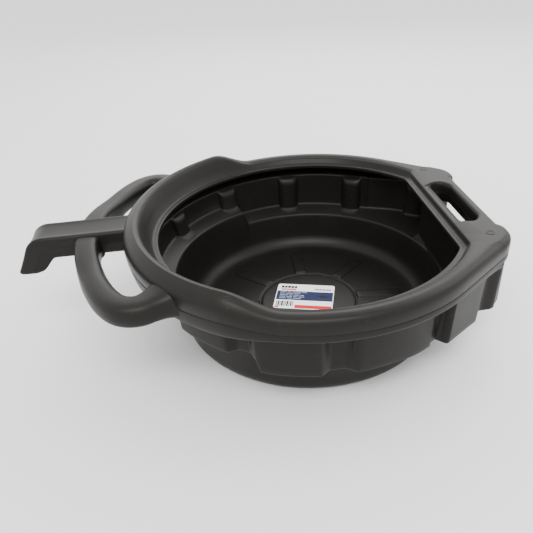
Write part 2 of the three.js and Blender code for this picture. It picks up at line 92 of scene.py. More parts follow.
# Plan outlines near the grip: station, x, y.
SLOT_INNER = [(0, 186.2, 0), (14.9, 186.2, 49.4), (15.6, 186.5, 52.4), (16.4, 187.7, 55.8),
              (SLOT_END, 190.8, 59), (19, 191, 65.5), (20.5, 192, 73), (23, 194, 87), (26, 196, 100),
              (29.5, 188, 110.5)]
SLOT_OUTER = [(0, 214.2, 0), (14.9, 214.2, 42), (15.6, 213.9, 45), (16.4, 212.9, 48.3),
              (SLOT_END, 210.4, 51.8), (19, 212, 60), (20.5, 214, 71), (23, 219, 87), (26, 218, 103),
              (29.5, 205.5, 114.5)]
SLOT_BULGE = [(1.2, 3.4), (2.2, 4.2), (2.1, 2.9)]  # rounds the end between the two sides
SLOT_EDGE_RADIUS = [2.6, 5.4]  # of the rounding where the deck meets the slot
SLOT_EDGE_X = [192, 208]  # x positions of the smaller and the larger of them
SLOT_EDGE_END = 24.0  # the rounding stays on the grip's side of this angle
BAR_AND_EAR = [(0, 227, 0), (14.9, 227, 46), (SLOT_END, 227, 57), (19, 227, 69), (20, 227.3, 74.4),
               (20.6, 228.2, 76.2), (21.2, 230, 78), (21.8, 231.9, 80), (22.3, 232.9, 83.5),
               (22.8, 233, 90.4)]
EAR_ARC = [22.8, 29.0]  # stations of the grip's rounded corner
EAR_CENTRE = (195.0, 90.4)
EAR_RADIUS = 38.0
POST_INSIDE = [(20.7, 183.6, 69.4), (21.0, 186.5, 71.0), (21.5, 214, 80.9), (21.9, 225.5, 86),
               (23.2, 226.2, 93), (24.6, 225.4, 100), (25.4, 223.6, 104), (27, 217, 110.4),
               (POST_END, 213.0, 116.3)]
POST_OUTSIDE = [(19.3, 186.2, 65.2), (19.7, 188.6, 67.0), (20.3, 214, 76.4), (20.8, 227.5, 81.8),
                (21.2, 230.6, 84.9), (22.6, 231.6, 92.5), (24.4, 230.2, 101), (25.2, 228, 105),
                (27, 221, 112.6), (POST_END, 217.2, 118.4)]


def ease(x, start, end):
    """A smooth step from 0 to 1."""
    t = np.clip((x - start) / (end - start), 0, 1)
    return t * t * (3 - 2 * t)


def make_stations():
    """Angles round half of the pan, close together where the plan has detail."""
    half_rib = np.array([0.4, 0.65, 0.8, 0.89, 0.95, 0.985, 1, 1.08])
    rib = np.concatenate([-half_rib[::-1], [0], half_rib])
    grip, guard, step = np.arange(14, 34, 0.4), np.arange(103, 125, 0.7), np.arange(112.8, 117, 0.25)
    dense = [np.arange(0, 180.1, 1.25), grip, guard, step]
    dense += [SLOT_END + np.array([0.15, 0.32, 0.55, 0.85])]
    dense += [centre + half * rib for centre, half in INNER_RIBS + OUTER_RIBS]
    dense += [edge + CORNER_OFFSETS for edge in NOTCH + [SHOULDER_END]]
    for spoke in np.arange(0, 181, SPOKE_PITCH):
        dense += [spoke + SPOKE_OFFSETS]
    exact = [0, SLOT_END, GRIP_END, POST_END, 180.0]
    exact += [row[0] for row in POST_INSIDE + POST_OUTSIDE + BAR_AND_EAR[1:] if row[0] > SLOT_END + 1]
    kept = sorted(set(exact))
    for angle in np.unique(np.concatenate(dense).round(3)):
        if 0 < angle < 180 and min(abs(angle - k) for k in kept) > 0.11:
            kept.append(float(angle))
    return np.array(sorted(kept))


U = make_stations()
WAY = np.stack([np.cos(np.radians(U)), np.sin(np.radians(U))], 1)
NEAREST_SPOKE = np.round(U / SPOKE_PITCH) * SPOKE_PITCH


def circle(radius):
    """One plan point per station, at a radius that can differ from station to station."""
    return WAY * np.broadcast_to(radius, U.shape)[:, None]


def keyed(keys):
    """Plan points between keys of station, x and y."""
    table = np.array(keys, float)
    return np.stack([np.interp(U, table[:, 0], table[:, k]) for k in (1, 2)], 1)


def length(v):
    return np.linalg.norm(v, axis=1)


def toward(start, end, distance):
    """Points at a distance from start, on the way to end, and never past the middle."""
    way = end - start
    reach = np.maximum(length(way), 1e-6)
    return start + way * (np.minimum(distance, 0.46 * reach) / reach)[:, None]


def mix(a, b, share):
    """Plan points on the way from a to b."""
    share = np.broadcast_to(share, U.shape)[:, None]
    return a * (1 - share) + b * share


def straight(distance, facing=0.0):
    """Radius of a straight wall that faces in a direction, at a distance from the basin's axis."""
    return distance / np.cos(np.radians(facing - np.minimum(U, 60)))


def chord_or_circle(radius, chord_x):
    """Radius of a circle cut off by the chord, with a soft corner."""
    chord = chord_x / np.cos(np.radians(np.minimum(U, 80)))
    gap = np.minimum(np.abs(radius - chord) / CHORD_SOFTNESS, 40)
    return np.minimum(radius, chord) - CHORD_SOFTNESS * np.log1p(np.exp(-gap)) * 0.6


def rim_outline():
    """The rim's outer edge: the grip's bar and rounded corner, the straight shoulder and the round rest."""
    radius = np.where(U < SHOULDER_ANGLE, RIM_RADIUS / np.cos(np.radians(SHOULDER_ANGLE - U)), RIM_RADIUS)
    steps = np.linspace(0, 1, 13)[1:]
    ear = [(EAR_ARC[0] + (EAR_ARC[1] - EAR_ARC[0]) * t,
            EAR_CENTRE[0] + EAR_RADIUS * math.cos(math.radians(SHOULDER_ANGLE * t)),
            EAR_CENTRE[1] + EAR_RADIUS * math.sin(math.radians(SHOULDER_ANGLE * t))) for t in steps]
    return np.where((U < EAR_ARC[1])[:, None], keyed(BAR_AND_EAR + ear), circle(radius))


OUTER = rim_outline()
STRETCH = (length(OUTER) - CREST_RADIUS) / (RIM_RADIUS - CREST_RADIUS)


def crest_row(radius, keys=None):
    """A row on the crest at a regular radius; it widens along the shoulders and follows keys in the grip."""
    regular = circle(CREST_RADIUS + (radius - CREST_RADIUS) * STRETCH)
    if keys is None:
        return regular
    at = int(np.argmin(np.abs(U - GRIP_END)))
    grip = keyed(keys + [(GRIP_END, *regular[at])])
    return np.where((U < GRIP_END)[:, None], grip, regular)


def rib_share(ribs):
    """Height of the ribs along the wall, from 0 to 1, with steep flanks."""
    share = np.zeros_like(U)
    for centre, half in ribs:
        across = np.clip(np.abs(U - centre) / half, 0, 1)
        share = np.maximum(share, (1 - across ** 3) ** 0.5)
    return share


def recess_share(recesses):
    """The same for the recesses, with flanks that slope."""
    share = np.zeros_like(U)
    for centre, half in recesses:
        share = np.maximum(share, 1 - ease(np.abs(U - centre), 0.4 * half, 1.15 * half))
    return share


def wall_inside(draft, rib=1.0):
    """Inner face of the upper wall: the wall before the slot, the post, the shoulder and the round wall."""
    shoulder = straight(SHOULDER_WALL[0], WALL_ANGLE)
    bare = shoulder + (ROUND_WALL[0] - shoulder) * ease(U, 40, 58)
    radius = bare + draft - RIB_DEPTH * rib * rib_share(INNER_RIBS)
    near = keyed([(0, CHORD_WALL[0], 0), (20.3, CHORD_WALL[0], 67.9)] + POST_INSIDE)
    near = np.where((U < POST_INSIDE[0][0])[:, None], circle(straight(CHORD_WALL[0])), near)
    return mix(near, circle(radius), ease(U, POST_END - 0.3, POST_END + 0.2))


def wall_outside(draft, rib=1.0):
    """Outer face of the upper wall, with the notch and the recesses behind the inner ribs."""
    shoulder = straight(SHOULDER_WALL[1], WALL_ANGLE)
    bare = shoulder + (ROUND_WALL[1] - shoulder) * ease(U, NOTCH[0] - 0.4, NOTCH[0] + 0.3)
    notch = NOTCH_DEPTH * (ease(U, NOTCH[0] - 0.2, NOTCH[0] + 0.2) - ease(U, NOTCH[1] - 0.3, NOTCH[1] + 0.3))
    radius = bare + draft - notch - RIB_DEPTH * rib * recess_share(OUTER_RIBS)
    near = np.where((U < POST_OUTSIDE[0][0])[:, None], circle(straight(CHORD_WALL[1])), keyed(POST_OUTSIDE))
    return mix(near, circle(radius), ease(U, POST_END - 0.3, POST_END + 0.2))


def spoke_way(radius):
    """Directions bent so that stations run along the parallel sides of the floor spokes."""
    offset = np.abs(U - NEAREST_SPOKE)
    sides = [math.degrees(math.asin(w / radius)) for w in SPOKE_HALF_WIDTH]
    bent = np.interp(offset, [0, *SPOKE_STATIONS, SPOKE_PITCH / 2], [0, *sides, SPOKE_PITCH / 2])
    angle = np.radians(NEAREST_SPOKE + np.sign(U - NEAREST_SPOKE) * bent)
    return radius * np.stack([np.cos(angle), np.sin(angle)], 1)


# ---- Rows of the skin ----
# A row is a line of points round half of the pan. The rows run from the middle of the floor up to the rim,
# over it and back below the floor. In their tables, out and up say how the guard moves a row.
STEP = ease(U, STEP_ANGLE - STEP_HALF_WIDTH, STEP_ANGLE + STEP_HALF_WIDTH)
GUARD = ease(U, *GUARD_RAMP)
rows = []
names = {}


def row(xy, z, name=None):
    if name:
        names[name] = len(rows)
    rows.append(np.column_stack([xy, np.broadcast_to(z, U.shape)]))


def pushed_out(xy, out):
    """Moves a line of points outwards where the guard stands."""
    return xy + WAY * (out * GUARD)[:, None]


def chord_row(radius, chord, z, out, up, name=None):
    """A row cut off by the chord, moved outwards and up where the guard stands."""
    row(circle(chord_or_circle(radius, chord) + out * GUARD), z + up * GUARD, name)


def ring_row(radius, z, limit=None):
    if limit is not None:
        radius = np.minimum(radius, limit)
    row(circle(radius), z)


def floor_rows():
    """The disc, the groove round it and the sloping floor with its spokes."""
    for radius, z in [(6, FLOOR_Z), (30, FLOOR_Z), (52, FLOOR_Z), (64, FLOOR_Z), (67, 10.35), (68, 10.0),
                      (68.9, 9.0), (69.8, 8.7), (70.8, 9.0), (71.7, 9.8)]:
        ring_row(radius, z)
    across = 1 - ease(np.abs(U - NEAREST_SPOKE), *SPOKE_STATIONS)
    start, end = SPOKE_SPAN
    for radius, lift in [(start, 0.5), (start + 1.5, 0.8), (start + 4, 0.95), (start + 6, 1), (86, 1),
                         (100, 1), (118, 1), (end - 6, 1), (end - 4, 0.8), (end - 1.5, 0.2), (end, 0),
                         (142, 0)]:
        sloping = 10.3 - 0.0585 * (radius - 68)
        row(spoke_way(radius), sloping + SPOKE_RISE * lift * across)
    ring_row(148, 5.6)


def basin_rows():
    """The basin's wall, the ledge and the foot of the upper wall, whose height it returns."""
    foot = wall_inside(0)
    reach = length(foot)
    for radius, z in [(154, 5.5), (160, 6.2), (164, 7.8), (167.5, 10.6), (170.6, 14), (173.4, 18),
                      (175.2, 22.5), (177.6, 33)]:
        ring_row(radius, z)
    ring_row(180.4, 45 + 0.55 * STEP_RISE * STEP, reach - 2.6)
    for radius, down, margin in [(182.2, 4.2, 2.2), (182.9, 1.6, 1.8), (183.8, 0.3, 1.4), (185.6, -0.5, 1.0)]:
        ring_row(radius, LEDGE_Z - down + STEP_RISE * STEP, reach - margin)
    inner = circle(np.minimum(185.6, reach - 1.0))
    foot_z = LEDGE_Z + STEP_RISE * STEP + np.clip(9 * (reach - 184) / 22, 1, 9)
    for distance, up in [(9, -3.4), (3.2, -1.1), (1.2, 0.1), (0.3, 1.4)]:
        near = np.clip((reach - 186) / 8, 0, 1)
        row(toward(foot, inner, distance), foot_z + up * near + (1 - near) * (0.5 + 0.05 * up))
    return foot_z


def wall_rows(foot_z):
    for share, draft, rib in [(0.04, 0.1, 1), (0.3, 1.0, 1), (0.6, 2.1, 1)]:
        row(wall_inside(draft, rib), foot_z + 2.4 + (100 - foot_z) * share)
    for z, draft, rib in [(105, 2.9, 1), (108.6, 3.1, 0.96), (111.4, 3.3, 0.86), (113.6, 3.4, 0.7),
                          (115.2, 3.6, 0.5), (116.4, 3.7, 0.28), (117.2, 3.8, 0.1), (117.8, 4.0, 0),
                          (118.6, 4.6, 0), (119.6, 5.9, 0)]:
        row(wall_inside(draft, rib), z)


def channel_rows():
    """Inside of the rim. Behind the slot it closes up, because the chord wall stands against the slot."""
    behind = circle(straight(CHORD_WALL[0] + 0.5))
    shut = 1 - ease(U, 18.6, 21.4)
    centre = wall_inside(6)
    for inset, z, out, up in [(11, 121.2, 3, 0.4), (4.4, 122.4, 5, 1), (3, 125.5, 6, 3), (2.8, 134, 8.4, 12),
                              (3, 140.5, 9.2, 16), (5.4, 144.3, 8, 20)]:
        wide = pushed_out(toward(OUTER, centre, inset), out)
        row(mix(wide, behind, shut), z + up * GUARD)
    for radius, chord, z, out, up in [(212.6, 181.5, 144.6, 9.5, 23), (208.6, 177.4, 141.8, 6, 15),
                                      (205.2, 174.4, 137.6, 1, 0.6), (200.4, 170.2, 137.3, 0, 0)]:
        chord_row(radius, chord, z, out, up)


def lip_rows():
    """The cut edge is a small flange turned down, and the shelf behind it rises steeply to the crest."""
    for radius, z in [(200.2, 135.4), (199.8, 134.5), (199.0, 134.2), (198.3, 134.6), (198.0, 135.6),
                      (198.0, 138.6), (198.4, 139.6), (199.4, 140.0)]:
        ring_row(chord_or_circle(radius, LIP_CHORD_X + radius - LIP_RADIUS), z)
    for radius, chord, z, out, up in [(202.6, 172.8, 139.5, 0, 0), (204.2, 174.7, 139.6, 0.3, 0.1),
                                      (205.4, 175.8, 140.6, 1, 0.9), (207.2, 176.7, 143.4, 4.4, 9.5),
                                      (208.9, 177.5, 146.0, 8.0, 18.4), (209.7, 178.1, 147.1, 9.4, 21.4)]:
        chord_row(radius, chord, z, out, up)
    chord_row(210.8, 179.2, 147.6, 10.6, 22.7, "deck_edge")


IN_GRIP = 1 - ease(U, 26, 52)
SIDE_A = crest_row(213.0, SLOT_INNER)
SIDE_B = crest_row(219.0, SLOT_OUTER)
SLOT_LAST = int((U <= SLOT_END + 1e-6).sum()) - 1  # the last station beside the slot


def slot_rows():
    """Rows from one side of the slot to the other; they bulge so that the slot's end is round."""
    across = [SIDE_A]
    fade = 1 - ease(U, SLOT_END, 22)
    for k, bulge in enumerate(SLOT_BULGE):
        base = mix(SIDE_A, SIDE_B, (k + 1) / 4)
        across.append(base + np.array(bulge) * (fade * (U > SLOT_END - 2.5))[:, None])
    return across + [SIDE_B]


ACROSS = slot_rows()


def crest_rows():
    """The deck: rows over the slot or the crest, and three more on the grip's bar or the rim."""
    levels = [(148.4, 11, 22.3), (149.1, 10.4, 22.0), (149.7, 9.6, 21.4), (150.1, 8.8, 20.8),
              (150.3, 8.0, 20.2)]
    for k, (xy, (z, out, up)) in enumerate(zip(ACROSS, levels)):
        row(pushed_out(xy, out), z + (DECK_Z - z) * IN_GRIP + up * GUARD, f"top_{k}")
    for distance, radius, z, out, up in [(1.1, 220.4, 150.3, 7.6, 19.8), (2.8, 222.0, 150.1, 7.2, 19.3),
                                         (5.2, 224.2, 149.6, 7.0, 18.7)]:
        xy = mix(crest_row(radius), toward(SIDE_B, OUTER, distance), IN_GRIP)
        row(pushed_out(xy, out), z + (DECK_Z - z) * IN_GRIP + up * GUARD)


def rim_side_rows():
    """The rim's side from the crest to its lower edge, with the parting line; inset, z, out and up."""
    profile = [(5.0, 149.0, 6.8, 18.2), (3.4, 147.9, 6.9, 17.6), (2.1, 146.5, 7.3, 17.1),
               (1.1, 144.9, 7.9, 16.6), (0.45, 143.0, 8.4, 16.1), (0.1, 140.9, 9.0, 15.4),
               (0, 138.5, 9.2, 14.6), (0, 131.4, 8.6, 12.2), (0.15, 130.9, 8.5, 12.0),
               (0.75, 130.5, 8.5, 11.9), (0.75, 130.0, 8.5, 11.8), (0.15, 129.6, 8.4, 11.7),
               (0, 129.0, 8.4, 11.5), (0, 124.5, 6.4, 4.0), (0.15, 122.6, 5.6, 1.2),
               (0.7, 121.4, 5.2, 0.5), (1.6, 120.9, 5.0, 0.2), (3.0, UNDER_Z, 5.0, 0)]
    for k, (inset, z, out, up) in enumerate(profile):
        upper = z > PART_LINE_Z + 2
        soft = IN_GRIP * ease(U, 23, 31) * upper
        tight = (1 - ease(U, 24, 33)) * upper
        xy = toward(OUTER, SIDE_B, inset * (1 + 0.7 * soft - 0.25 * tight))
        row(pushed_out(xy, out), z + 0.4 * (DECK_Z - z) * tight + up * GUARD, f"side_{k}")


def under_rows():
    """The underside of the bar and of the slot's surround, and of the rim as far as the outer wall."""
    wall = wall_outside(3.6, 0)
    share = ease(U, SLOT_END, 20.4)
    edge = pushed_out(toward(OUTER, SIDE_B, 3.0), 5)
    bar = [toward(SIDE_B, OUTER, distance) for distance in (5.2, 2.8, 1.1)]
    levels = bar + ACROSS[::-1]
    for k, xy in enumerate(levels):
        spread = mix(edge, wall, 0.1 + 0.1 * k)
        row(mix(xy, spread, share), UNDER_Z, f"under_{k}")
    for draft, z in [(3.4, 119.9), (3.0, 118.4)]:
        row(wall_outside(draft, 0), z)


def outer_wall_rows():
    """The outer wall, the blocks' lower edge and the basin from outside, as far as under the disc."""
    low = BLOCK_Z + 3.5 * ease(U, 62, 74) + 17.5 * ease(U, STEP_ANGLE - 1.4, STEP_ANGLE + 0.6)
    for z, draft, rib in [(117, 2.9, 0), (115.4, 2.8, 0.3), (113.6, 2.7, 0.7), (111.4, 2.5, 0.92),
                          (108.5, 2.4, 1)]:
        row(wall_outside(draft, rib), z)
    for share, draft in [(0.75, 1.8), (0.4, 1.0), (0.12, 0.3)]:
        row(wall_outside(draft), low + 2.6 + (108.5 - low) * share)
    foot = wall_outside(0)
    reach = length(foot)
    inner = circle(np.minimum(188.5, reach - 0.4))
    for inset, up in [(0.15, 2.8), (0.6, 1.3), (1.6, 0.3), (3.2, 0.0)]:
        row(toward(foot, inner, inset), low + up)
    for radius, down, margin in [(190, 2.4, 0.5), (187.6, 3.2, 0.9), (186.4, 4.6, 1.3), (185.8, 7.2, 1.7)]:
        ring_row(radius, low - down + 0.4, reach - margin)
    ring_row(183.2, 40 + 10 * STEP, reach - 2.6)
    for radius, z in [(179.6, 22), (178.6, 14.5), (177.0, 9), (174.6, 5), (171.0, 2.0), (166.6, 0.5),
                      (163, 0), (149.6, 0), (147.8, 0.4), (146.2, 1.8), (144, 3), (110, 5.2), (68, 7.4),
                      (6, FLOOR_UNDER_Z)]:
        ring_row(radius, z)


def slot_outline():
    """Half of the slot's edge, as a line of plan points."""
    end = [xy[SLOT_LAST] for xy in ACROSS[1:4]]
    return np.concatenate([SIDE_A[:SLOT_LAST + 1], end, SIDE_B[SLOT_LAST::-1]])


def round_slot_edges():
    """Rounds the deck over the edge of the slot, and a little less on its underside."""
    line = slot_outline()
    a, b = line[:-1], line[1:]
    way = b - a
    top = range(names["deck_edge"], names["side_4"])
    under = range(names["side_17"], names["under_7"] + 1)
    for k in [*top, *under]:
        points = rows[k]
        t = np.einsum("pse,se->ps", points[:, None, :2] - a, way) / (way ** 2).sum(1)
        nearest = a + np.clip(t, 0, 1)[..., None] * way
        distance = np.sqrt(((points[:, None, :2] - nearest) ** 2).sum(2)).min(1)
        radius = np.interp(points[:, 0], SLOT_EDGE_X, SLOT_EDGE_RADIUS)
        depth = radius * (1 - np.sqrt(1 - (1 - np.clip(distance / radius, 0, 1)) ** 2))
        depth = np.where(U < SLOT_EDGE_END, depth, 0)
        points[:, 2] += depth * (-1 if k in top else 0.8)


def shell_mesh():
    """The whole skin as a closed grid of rows, with the slot through the deck."""
    floor_rows()
    foot_z = basin_rows()
    wall_rows(foot_z)
    channel_rows()
    lip_rows()
    crest_rows()
    rim_side_rows()
    under_rows()
    outer_wall_rows()
    round_slot_edges()
    half = np.array(rows)
    mirrored = half[:, -2:0:-1] * np.array([1, -1, 1])
    grid = np.concatenate([half, mirrored], 1)
    count_rows, count = grid.shape[:2]
    verts = [tuple(p) for p in grid.reshape(-1, 3)]
    in_slot = {i % count for i in range(-SLOT_LAST, SLOT_LAST)}
    holes = set(range(names["top_0"], names["top_4"])) | set(range(names["under_3"], names["under_7"]))
    faces = []
    for r in range(count_rows - 1):
        for i in range(count):
            if not (r in holes and i in in_slot):
                n = (i + 1) % count
                faces.append((r * count + i, r * count + n, (r + 1) * count + n, (r + 1) * count + i))
    add_slot_walls(verts, faces, count)
    top, bottom = len(verts), len(verts) + 1
    verts += [(0, 0, FLOOR_Z), (0, 0, FLOOR_UNDER_Z)]
    for i in range(count):
        n = (i + 1) % count
        faces.append((top, n, i))
        faces.append((bottom, (count_rows - 1) * count + i, (count_rows - 1) * count + n))
    used = sorted({v for f in faces for v in f})
    index = {v: k for k, v in enumerate(used)}
    return [verts[v] for v in used], [tuple(index[v] for v in f) for f in faces]


def add_slot_walls(verts, faces, count):
    """Joins the slot's upper edge to its lower edge, with a fine raised parting line half way down."""
    def loop(sides):
        along = list(range(-SLOT_LAST, SLOT_LAST + 1))
        ids = [names[sides[0]] * count + i % count for i in along]
        ids += [names[s] * count + SLOT_LAST for s in sides[1:-1]]
        ids += [names[sides[-1]] * count + i % count for i in along[::-1]]
        return ids + [names[s] * count + (-SLOT_LAST) % count for s in sides[-2:0:-1]]

    upper = loop([f"top_{k}" for k in range(5)])
    lower = loop([f"under_{7 - k}" for k in range(5)])
    plan = np.array([verts[v][:2] for v in upper])
    tangent = np.roll(plan, -1, 0) - np.roll(plan, 1, 0)
    inward = np.column_stack([tangent[:, 1], -tangent[:, 0]]) / length(tangent)[:, None]
    rings = [upper]
    for inset, z in [(0.25, 137.5), (0.5, 134.6), (1.0, PART_LINE_Z), (0.5, 133.4), (0.25, 130)]:
        start = len(verts)
        verts += [(x, y, z) for x, y in plan + inward * inset]
        rings.append(list(range(start, start + len(upper))))
    rings.append(lower)
    size = len(upper)
    for a, b in zip(rings[:-1], rings[1:]):
        for i in range(size):
            n = (i + 1) % size
            faces.append((a[i], a[n], b[n], b[i]))


# ---- Making pieces ----
def new_object(name, data):
    thing = bpy.data.objects.new(name, data)
    bpy.context.scene.collection.objects.link(thing)
    return thing


def make_piece(name, verts, faces, material, nodes=(), smooth=True):
    mesh = bpy.data.meshes.new(name)
    mesh.from_pydata([BASIN_AXIS + Vector(v) * MM for v in verts], [], faces)
    mesh.validate()
    mesh.update()
    mesh.materials.append(material)
    piece = new_object(name, mesh)
    if smooth:
        mesh.shade_smooth()
    else:
        mesh.shade_flat()
    face_outwards(piece)
    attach(piece, "root")
    if nodes:
        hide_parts(*nodes)


def face_outwards(piece):
    """Turns the faces of a closed piece so that they all look outwards."""
    work = bmesh.new()
    work.from_mesh(piece.data)
    bmesh.ops.recalc_face_normals(work, faces=work.faces)
    if work.calc_volume(signed=True) < 0:
        bmesh.ops.reverse_faces(work, faces=work.faces)
    work.to_mesh(piece.data)
    work.free()


def tube_faces(stations, size):
    """Faces between the rings of a tube, with a face over each end."""
    faces = []
    for s in range(stations - 1):
        for i in range(size):
            n = (i + 1) % size
            faces.append((s * size + i, s * size + n, (s + 1) * size + n, (s + 1) * size + i))
    faces.append(tuple(range(size)))
    faces.append(tuple(range((stations - 1) * size, stations * size)))
    return faces


# ---- Loop handles ----
LOOP_Z = 141.2
LOOP_HALF_WIDTH = 14.2
LOOP_HALF_HEIGHT = 14.4
LOOP_RIDGE = 0.45  # height of the parting line
LOOP_SEGMENTS = 44
HOOK_ROOT = [12, 7]  # length that keeps the full flare at the hook, and how slowly the rest fades
GUARD_ROOT = [8, 12]  # the same at the guard
BOXY_SPAN = [20, 100]  # the tube turns from boxy to round between these lengths
# Middle line of a loop as x, y and how much further out the outer side stands.
LOOP_LINE = [(-285.5, 12, 0), (-285, 27, 0), (-278.5, 60, 0.5), (-270, 87, 1), (-259, 115, 2),
             (-245.5, 141, 3), (-231.5, 159, 3.5), (-219, 166.5, 4), (-206, 167, 3.5), (-195, 161, 3),
             (-181, 150.5, 4), (-172, 143.5, 5)]


def spline(points, steps):
    """A Catmull-Rom line through the points."""
    p = np.array(points, float)
    p = np.vstack([2 * p[0] - p[1], p, 2 * p[-1] - p[-2]])
    out = []
    for k in range(1, len(p) - 2):
        for t in np.linspace(0, 1, steps, endpoint=False):
            a, b, c, d = p[k - 1:k + 3]
            out.append(0.5 * (2 * b + (c - a) * t + (2 * a - 5 * b + 4 * c - d) * t ** 2
                              + (3 * b - a - 3 * c + d) * t ** 3))
    return np.array(out + [p[-2]])


def tube_section(power):
    """A rounded section with a fine ridge along the parting line, as (across, up) shares."""
    section = []
    for angle in np.linspace(0, 2 * math.pi, LOOP_SEGMENTS, endpoint=False):
        c, s = math.cos(angle), math.sin(angle)
        section.append((math.copysign(abs(c) ** (2 / power), c), math.copysign(abs(s) ** (2 / power), s)))
    middle = LOOP_SEGMENTS // 2
    section[0] = (section[0][0] + LOOP_RIDGE / LOOP_HALF_WIDTH, 0)
    section[middle] = (section[middle][0] - LOOP_RIDGE / LOOP_HALF_WIDTH, 0)
    return section


def loop_handle(side, material):
    """A swept loop that widens where it runs into the hook and into the guard."""
    points = spline(LOOP_LINE, 8)
    line, further = points[:, :2], points[:, 2]
    tangent = np.gradient(line, axis=0)
    normal = np.column_stack([-tangent[:, 1], tangent[:, 0]]) / length(tangent)[:, None]
    along = np.concatenate([[0], np.cumsum(length(np.diff(line, axis=0)))])
    hook_root = np.exp(-np.maximum(along - HOOK_ROOT[0], 0) / HOOK_ROOT[1])
    guard_root = np.exp(-np.maximum(along[-1] - along - GUARD_ROOT[0], 0) / GUARD_ROOT[1])
    outer = 1 + guard_root
    inner = outer + 0.38 * hook_root
    tall = 1 + 0.04 * hook_root + 0.4 * guard_root
    near_hook = 1 - ease(along, *BOXY_SPAN)
    verts = []
    for p, n, wide_out, wide_in, out, high, boxy in zip(line, normal, outer, inner, further, tall, near_hook):
        section = tube_section(2.7 + 2.3 * boxy)
        top = high + 0.28 * boxy
        for across, up in section:
            wide = wide_out if across > 0 else wide_in
            x, y = p + n * (across * (LOOP_HALF_WIDTH * wide + out / 2) + out / 2)
            verts.append((x, side * y, LOOP_Z + up * LOOP_HALF_HEIGHT * (top if up > 0 else high)))
    name = "loop_left" if side > 0 else "loop_right"
    make_piece(name + "_handle", verts, tube_faces(len(line), LOOP_SEGMENTS), material, [name])


# ---- Deck marks ----
DECK_MARKS = {"left": (197.5, 112.0), "right": (207.5, -96.0)}
# Radius and height over the deck, from the outside to the middle.
DECK_MARK_PROFILE = [(5.9, -0.7), (5.7, 0.05), (5.1, 0.38), (4.4, 0.42), (3.9, 0.2), (3.5, 0.05), (0.8, 0.02)]


def deck_mark(side, centre, material):
    """A shallow round mark that the mould leaves on the deck: a low ring round a flat."""
    turns = np.linspace(0, 2 * math.pi, 40, endpoint=False)
    x, y = centre
    verts = [(x + radius * math.cos(a), y + radius * math.sin(a), DECK_Z + z)
             for radius, z in DECK_MARK_PROFILE for a in turns]
    make_piece("deck_mark_" + side, verts, tube_faces(len(DECK_MARK_PROFILE), len(turns)), material)


# ---- Hook ----
HOOK_HALF_WIDTH = 24.0
HOOK_TOP_Z = 163.4
HOOK_FOOT_Z = 133.4
HOOK_FALL = 0.012  # slope of the top towards the bend
HOOK_ARM_X = (-224, -240, -262, -285, -305, -318)
BEND_CENTRE = (-341, 137.9)  # x and z
BEND_RADIUS = 24.5
BEND_ANGLES = [90, 154]
# Upper point, lower point and width share of the stations of the tip.
HOOK_TIP = [((-368.5, 137.3), (-337.5, 125.6), 1), ((-373.3, 127.8), (-341.5, 120.9), 1),
            ((-377.2, 120.5), (-345, 117.4), 1), ((-378.9, 117.8), (-347.2, 115.9), 0.997),
            ((-379, 115.8), (-351, 114.9), 0.985), ((-377.8, 114.2), (-353, 113.9), 0.965),
            ((-375, 113.3), (-356, 113.2), 0.92)]


def hook_stations():
    """Upper and lower points (x, z) with a width share, from inside the guard to the end of the tip."""
    stations = [((x, HOOK_TOP_Z - HOOK_FALL * (-x - 240)), (x, HOOK_FOOT_Z), 1) for x in HOOK_ARM_X]
    start, end = BEND_ANGLES
    for angle in np.linspace(start, end, 9):
        a = math.radians(angle)
        share = (angle - start) / (end - start)
        upper = (BEND_CENTRE[0] + BEND_RADIUS * math.cos(a), BEND_CENTRE[1] + BEND_RADIUS * math.sin(a))
        stations.append((upper, (-327 - 6.5 * share, HOOK_FOOT_Z - 3.4 * share ** 2), 1))
    return stations + HOOK_TIP


def hook_section():
    """The section as y share, side (1 upper, 0 lower) and drop; one half runs from the crown to the foot."""
    half = [(0.0, 1, 1.3), (0.45, 1, 1.15), (0.66, 1, 0.75), (0.78, 1, 0.2), (0.86, 1, 0.05), (0.92, 1, 0.5),
            (0.965, 1, 1.6), (0.99, 1, 3.0), (1.0, 1, 5.0), (1.0, 0.54, 0), (1.018, 0.5, 0), (1.0, 0.46, 0),
            (1.0, 0, -5.0), (0.985, 0, -2.6), (0.95, 0, -1.1), (0.9, 0, -0.3), (0.82, 0, 0), (0.4, 0, 0)]
    mirrored = [(-y, side, drop) for y, side, drop in half[:0:-1]]
    return half + [(0.0, 0, 0)] + mirrored


def hook(material):
    """The arm and the tip it bends down into: one crowned section, a little narrower at the very end."""
    section = hook_section()
    stations = hook_stations()
    verts = []
    for upper, lower, width in stations:
        upper, lower = np.array(upper), np.array(lower)
        up = (upper - lower) / np.linalg.norm(upper - lower)
        for y, side, drop in section:
            x, z = lower + (upper - lower) * side - up * drop
            verts.append((x, y * HOOK_HALF_WIDTH * width, z))
    make_piece("hook", verts, tube_faces(len(stations), len(section)), material, ["hook_arm", "hook_tip"])


# ---- Label ----
LABEL_SIZE = (85.4, 62.0)
LABEL_CENTRE = (-4.6, 8.2)
LABEL_TURN = -15.1
FILM_LOW = FLOOR_Z - 0.2
FILM_TOP = FLOOR_Z + 0.2
PRINT_LOW = FLOOR_Z + 0.1
INK = 0.035  # how far one layer of print stands over the film


def on_label(points, z):
    """Turns label points (u, v) onto the pan."""
    c, s = math.cos(math.radians(LABEL_TURN)), math.sin(math.radians(LABEL_TURN))
    return [(LABEL_CENTRE[0] + c * u - s * v, LABEL_CENTRE[1] + s * u + c * v, z) for u, v in points]


